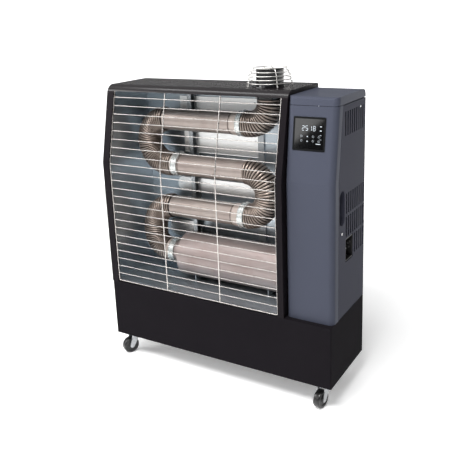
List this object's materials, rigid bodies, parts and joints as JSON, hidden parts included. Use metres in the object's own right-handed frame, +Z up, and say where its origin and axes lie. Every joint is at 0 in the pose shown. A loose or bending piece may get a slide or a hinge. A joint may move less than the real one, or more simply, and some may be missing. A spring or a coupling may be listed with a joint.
{
  "type": "infrared tube heater",
  "caption": "Mobile oil-fired infrared heater: leaning wire guard over stacked radiant tubes with ribbed bends, burner column with lockable side door, tank plinth on swivel casters.",
  "frame": {"origin": "on the floor under the middle of the cabinet", "axes": "+X to the heater's right seen from its front, +Y to its back, +Z up"},
  "size_m": [0.8808, 0.2888, 1.1002],
  "materials": {
    "hose_steel": "brushed",
    "galvanised": "satin",
    "motor_grey": "satin",
    "blower_steel": "satin",
    "caster_zinc": "satin",
    "wheel_black": "matte",
    "door_grey": "satin",
    "column_grey": "satin",
    "chamber_ceramic": "satin",
    "board_green": "satin",
    "display_black": "gloss",
    "display_glass": "gloss",
    "neck_steel": "satin",
    "float_plastic": "matte",
    "guard_black": "gloss",
    "flue_black": "gloss",
    "cap_plastic": "matte",
    "filter_clear": "gloss",
    "gauge_plastic": "gloss",
    "copper_line": "satin",
    "pump_brass": "satin",
    "tank_steel": "satin",
    "pointer_red": "matte",
    "guard_chrome": "polished",
    "mirror_steel": "polished",
    "hood_black": "satin",
    "clamp_steel": "polished",
    "transformer_black": "matte",
    "impeller_steel": "satin",
    "lock_chrome": "polished",
    "pedestal_black": "satin",
    "inlet_black": "matte",
    "tube_ceramic": "satin",
    "support_steel": "satin"
  },
  "bodies": {
    "cabinet": {"bend_lower_left": "hose_steel", "bend_right": "hose_steel", "bend_upper_left": "hose_steel", "blower_housing": "galvanised", "blower_motor": "motor_grey", "burner_head": "blower_steel", "burner_plenum": "galvanised", "caster_plates": "caster_zinc", "column_back": "door_grey", "column_cap": "column_grey", "column_front": "column_grey", "combustion_chamber": "chamber_ceramic", "control_board": "board_green", "display_bezel": "display_black", "display_glass": "display_glass", "filler_neck": "neck_steel", "flue_guard": "guard_black", "flue_pipe": "flue_black", "fuel_filter": "filter_clear", "fuel_gauge": "gauge_plastic", "fuel_lines": "copper_line", "fuel_pump": "pump_brass", "fuel_tank": "tank_steel", "guard_grille": "guard_chrome", "heat_shields": "mirror_steel", "hood_back": "hood_black", "hood_divider": "hood_black", "hood_left_panel": "hood_black", "hood_top": "hood_black", "hose_clamps": "clamp_steel", "ignition_transformer": "transformer_black", "outlet_elbow": "hose_steel", "pedestal_back": "pedestal_black", "pedestal_base": "pedestal_black", "pedestal_deck": "pedestal_black", "pedestal_wrap": "pedestal_black", "power_inlet": "inlet_black", "radiant_tube_lower": "tube_ceramic", "radiant_tube_middle": "tube_ceramic", "radiant_tube_upper": "tube_ceramic", "reflector_back": "mirror_steel", "reflector_ceiling": "mirror_steel", "reflector_floor": "mirror_steel", "reflector_left": "mirror_steel", "reflector_right": "mirror_steel", "tube_supports": "support_steel"},
    "swivel_front_left": {"caster_fork_front_left": "caster_zinc"},
    "swivel_front_right": {"caster_fork_front_right": "caster_zinc"},
    "swivel_rear_left": {"caster_fork_rear_left": "caster_zinc"},
    "swivel_rear_right": {"caster_fork_rear_right": "caster_zinc"},
    "wheel_front_left": {"caster_wheel_front_left": "wheel_black"},
    "wheel_front_right": {"caster_wheel_front_right": "wheel_black"},
    "wheel_rear_left": {"caster_wheel_rear_left": "wheel_black"},
    "wheel_rear_right": {"caster_wheel_rear_right": "wheel_black"},
    "door": {"column_door": "door_grey"},
    "float": {"float_arm": "float_plastic"},
    "filler_cap": {"fuel_cap": "cap_plastic"},
    "pointer": {"gauge_pointer": "pointer_red"},
    "fan": {"impeller": "impeller_steel"},
    "lock": {"lock_cam": "lock_chrome"}
  },
  "joints": [
    {"name": "swivel_front_left", "type": "hinge", "parent": "cabinet", "child": "swivel_front_left", "pos_m": [-0.396, -0.087, 0.08], "axis": [0, 0, 1], "continuous": true},
    {"name": "roll_front_left", "type": "hinge", "parent": "swivel_front_left", "child": "wheel_front_left", "pos_m": [-0.40699, -0.11056, 0.031], "axis": [0.9063, -0.4226, 0], "continuous": true},
    {"name": "swivel_front_right", "type": "hinge", "parent": "cabinet", "child": "swivel_front_right", "pos_m": [0.396, -0.087, 0.08], "axis": [0, 0, 1], "continuous": true},
    {"name": "roll_front_right", "type": "hinge", "parent": "swivel_front_right", "child": "wheel_front_right", "pos_m": [0.39149, -0.1126, 0.031], "axis": [0.9848, -0.1736, 0], "continuous": true},
    {"name": "swivel_rear_left", "type": "hinge", "parent": "cabinet", "child": "swivel_rear_left", "pos_m": [-0.345, 0.087, 0.08], "axis": [0, 0, 1], "continuous": true},
    {"name": "roll_rear_left", "type": "hinge", "parent": "swivel_rear_left", "child": "wheel_rear_left", "pos_m": [-0.32829, 0.10692, 0.031], "axis": [-0.766, 0.6428, 0], "continuous": true},
    {"name": "swivel_rear_right", "type": "hinge", "parent": "cabinet", "child": "swivel_rear_right", "pos_m": [0.345, 0.087, 0.08], "axis": [0, 0, 1], "continuous": true},
    {"name": "roll_rear_right", "type": "hinge", "parent": "swivel_rear_right", "child": "wheel_rear_right", "pos_m": [0.32829, 0.10692, 0.031], "axis": [-0.766, -0.6428, 0], "continuous": true},
    {"name": "door_hinge", "type": "hinge", "parent": "cabinet", "child": "door", "pos_m": [0.433, 0.137, 0.306], "axis": [0, 0, 1], "range_deg": [0, 100]},
    {"name": "lock_turn", "type": "hinge", "parent": "door", "child": "lock", "pos_m": [0.44, -0.057, 0.591], "axis": [-1, 0, 0], "range_deg": [0, 90]},
    {"name": "cap_turn", "type": "hinge", "parent": "cabinet", "child": "filler_cap", "pos_m": [0.39, 0.092, 0.336], "axis": [0, 0, 1], "range_deg": [0, 90]},
    {"name": "fan_spin", "type": "hinge", "parent": "cabinet", "child": "fan", "pos_m": [0.327, 0.024, 0.549], "axis": [1, 0, 0], "continuous": true},
    {"name": "float_swing", "type": "hinge", "parent": "cabinet", "child": "float", "pos_m": [0.312, 0.092, 0.1865], "axis": [0, 1, 0], "range_deg": [-30, 30]},
    {"name": "pointer_turn", "type": "hinge", "parent": "cabinet", "child": "pointer", "pos_m": [0.312, 0.092, 0.314], "axis": [0, 0, 1], "range_deg": [-60, 60]}
  ],
  "couplings": [
    {"joint": "pointer_turn", "follows": "float_swing", "ratio": 1.5}
  ]
}
